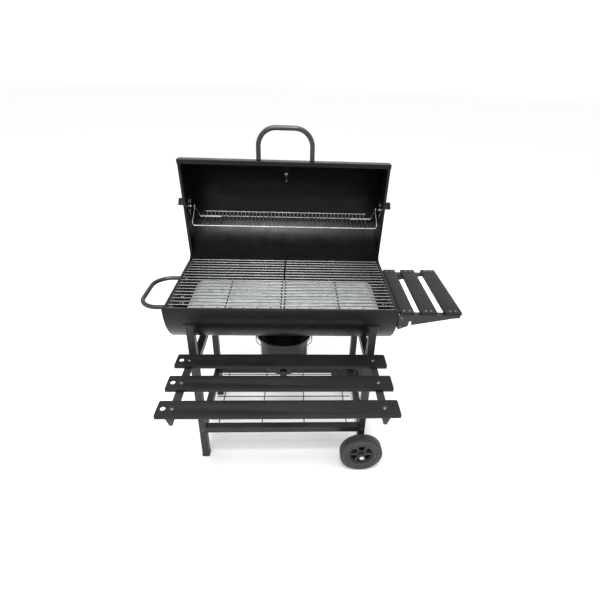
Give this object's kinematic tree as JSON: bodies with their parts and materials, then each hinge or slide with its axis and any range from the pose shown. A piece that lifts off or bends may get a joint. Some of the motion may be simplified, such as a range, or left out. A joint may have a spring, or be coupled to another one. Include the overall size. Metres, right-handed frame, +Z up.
{
  "type": "barrel charcoal grill",
  "caption": "Black barrel charcoal grill on a wheeled tube frame, lid open, with wire cooking grates, warming rack, front shelf, side table and ash pot",
  "frame": {"origin": "On the floor, under the middle of the whole outline with the lid open", "axes": "+X to the side table along the barrel, +Y to the back, +Z up"},
  "size_m": [1.071, 0.8274, 1.1824],
  "materials": {
    "black_paint": "satin black heat-resistant paint",
    "frame_paint": "satin black paint on steel tube",
    "slat_paint": "semi-matt dark grey-black coating",
    "chrome_wire": "bright chrome plating",
    "galvanised": "galvanised sheet, faint spangle",
    "grey_plastic": "matt grey-black plastic",
    "needle_paint": "black"
  },
  "bodies": {
    "frame_and_bowl": {"ash_outlet": "black_paint", "axle": "chrome_wire", "bowl_end_left": "black_paint", "bowl_end_right": "black_paint", "bowl_rear_lip": "black_paint", "bowl_shell": "black_paint", "crossbar_front": "frame_paint", "crossbar_rear": "frame_paint", "foot_cap_front": "grey_plastic", "foot_cap_rear": "grey_plastic", "grate_ledge_front": "black_paint", "grate_ledge_rear": "black_paint", "hinge_bowl_leaf_left": "black_paint", "hinge_bowl_leaf_right": "black_paint", "hinge_pin_left": "chrome_wire", "hinge_pin_right": "chrome_wire", "leg_front_left": "frame_paint", "leg_front_right": "frame_paint", "leg_rear_left": "frame_paint", "leg_rear_right": "frame_paint", "lid_stop_left": "black_paint", "lid_stop_right": "black_paint", "shelf_arm_left": "frame_paint", "shelf_arm_right": "frame_paint", "shelf_slat_1": "slat_paint", "shelf_slat_2": "slat_paint", "shelf_slat_3": "slat_paint", "side_handle": "black_paint", "side_rail_lower_left": "frame_paint", "side_rail_lower_right": "frame_paint", "side_rail_upper_left": "frame_paint", "side_rail_upper_right": "frame_paint", "table_bracket_front": "frame_paint", "table_bracket_rear": "frame_paint", "table_slat_a": "slat_paint", "table_slat_b": "slat_paint", "table_slat_c": "slat_paint", "wire_shelf": "frame_paint"},
    "lid": {"lid_shell": "black_paint", "lid_end_left": "black_paint", "lid_end_right": "black_paint", "lid_handle": "black_paint", "hinge_lid_leaf_left": "black_paint", "hinge_lid_leaf_right": "black_paint", "thermometer_case": "chrome_wire", "thermometer_stem": "chrome_wire"},
    "rack": {"warming_rack": "chrome_wire"},
    "needle": {"thermometer_needle": "needle_paint"},
    "lid_vent_left": {"lid_vent_disc_left": "black_paint"},
    "bowl_vent_left": {"bowl_vent_disc_left": "black_paint"},
    "grate_left": {"cooking_grate_left": "chrome_wire"},
    "lid_vent_right": {"lid_vent_disc_right": "black_paint"},
    "bowl_vent_right": {"bowl_vent_disc_right": "black_paint"},
    "grate_right": {"cooking_grate_right": "chrome_wire"},
    "tray": {"charcoal_tray": "galvanised"},
    "pot": {"ash_pot": "black_paint", "ash_pot_clip_left": "chrome_wire", "ash_pot_clip_right": "chrome_wire"},
    "front_wheel": {"wheel_front": "grey_plastic"},
    "rear_wheel": {"wheel_rear": "grey_plastic"}
  },
  "joints": [
    {"name": "lid_hinge", "type": "hinge", "parent": "frame_and_bowl", "child": "lid", "pos_m": [-0.0455, 0.23737, 0.68], "axis": [1, 0, 0], "range_deg": [0, 85]},
    {"name": "rack_swing", "type": "hinge", "parent": "lid", "child": "rack", "pos_m": [-0.0455, 0.31862, 0.86428], "axis": [-1, 0, 0], "range_deg": [0, 85]},
    {"name": "needle_turn", "type": "hinge", "parent": "lid", "child": "needle", "pos_m": [-0.0455, 0.37822, 0.98666], "axis": [0, -0.8131, -0.5821], "range_deg": [0, 270]},
    {"name": "lid_vent_turn_left", "type": "hinge", "parent": "lid", "child": "lid_vent_left", "pos_m": [-0.4195, 0.31862, 0.86428], "axis": [1, 0, 0], "range_deg": [0, 30]},
    {"name": "bowl_vent_turn_left", "type": "hinge", "parent": "frame_and_bowl", "child": "bowl_vent_left", "pos_m": [-0.4195, 0.06087, 0.576], "axis": [1, 0, 0], "range_deg": [0, 30]},
    {"name": "grate_lift_left", "type": "slide", "parent": "frame_and_bowl", "child": "grate_left", "axis": [0, 0, -1], "range_m": [-0.33, 0]},
    {"name": "lid_vent_turn_right", "type": "hinge", "parent": "lid", "child": "lid_vent_right", "pos_m": [0.3285, 0.31862, 0.86428], "axis": [1, 0, 0], "range_deg": [0, 30]},
    {"name": "bowl_vent_turn_right", "type": "hinge", "parent": "frame_and_bowl", "child": "bowl_vent_right", "pos_m": [0.3285, 0.06087, 0.576], "axis": [1, 0, 0], "range_deg": [0, 30]},
    {"name": "grate_lift_right", "type": "slide", "parent": "frame_and_bowl", "child": "grate_right", "axis": [0, 0, -1], "range_m": [-0.33, 0]},
    {"name": "tray_lift", "type": "slide", "parent": "frame_and_bowl", "child": "tray", "axis": [0, 0, -1], "range_m": [-0.05, 0]},
    {"name": "pot_drop", "type": "slide", "parent": "frame_and_bowl", "child": "pot", "axis": [0, 0, -1], "range_m": [0, 0.14]},
    {"name": "front_wheel_spin", "type": "hinge", "parent": "frame_and_bowl", "child": "front_wheel", "pos_m": [0.2495, -0.19013, 0.08], "axis": [0, 1, 0], "continuous": true},
    {"name": "rear_wheel_spin", "type": "hinge", "parent": "frame_and_bowl", "child": "rear_wheel", "pos_m": [0.2495, 0.27187, 0.08], "axis": [0, 1, 0], "continuous": true}
  ],
  "couplings": [
    {"joint": "rack_swing", "follows": "lid_hinge", "ratio": 1}
  ]
}
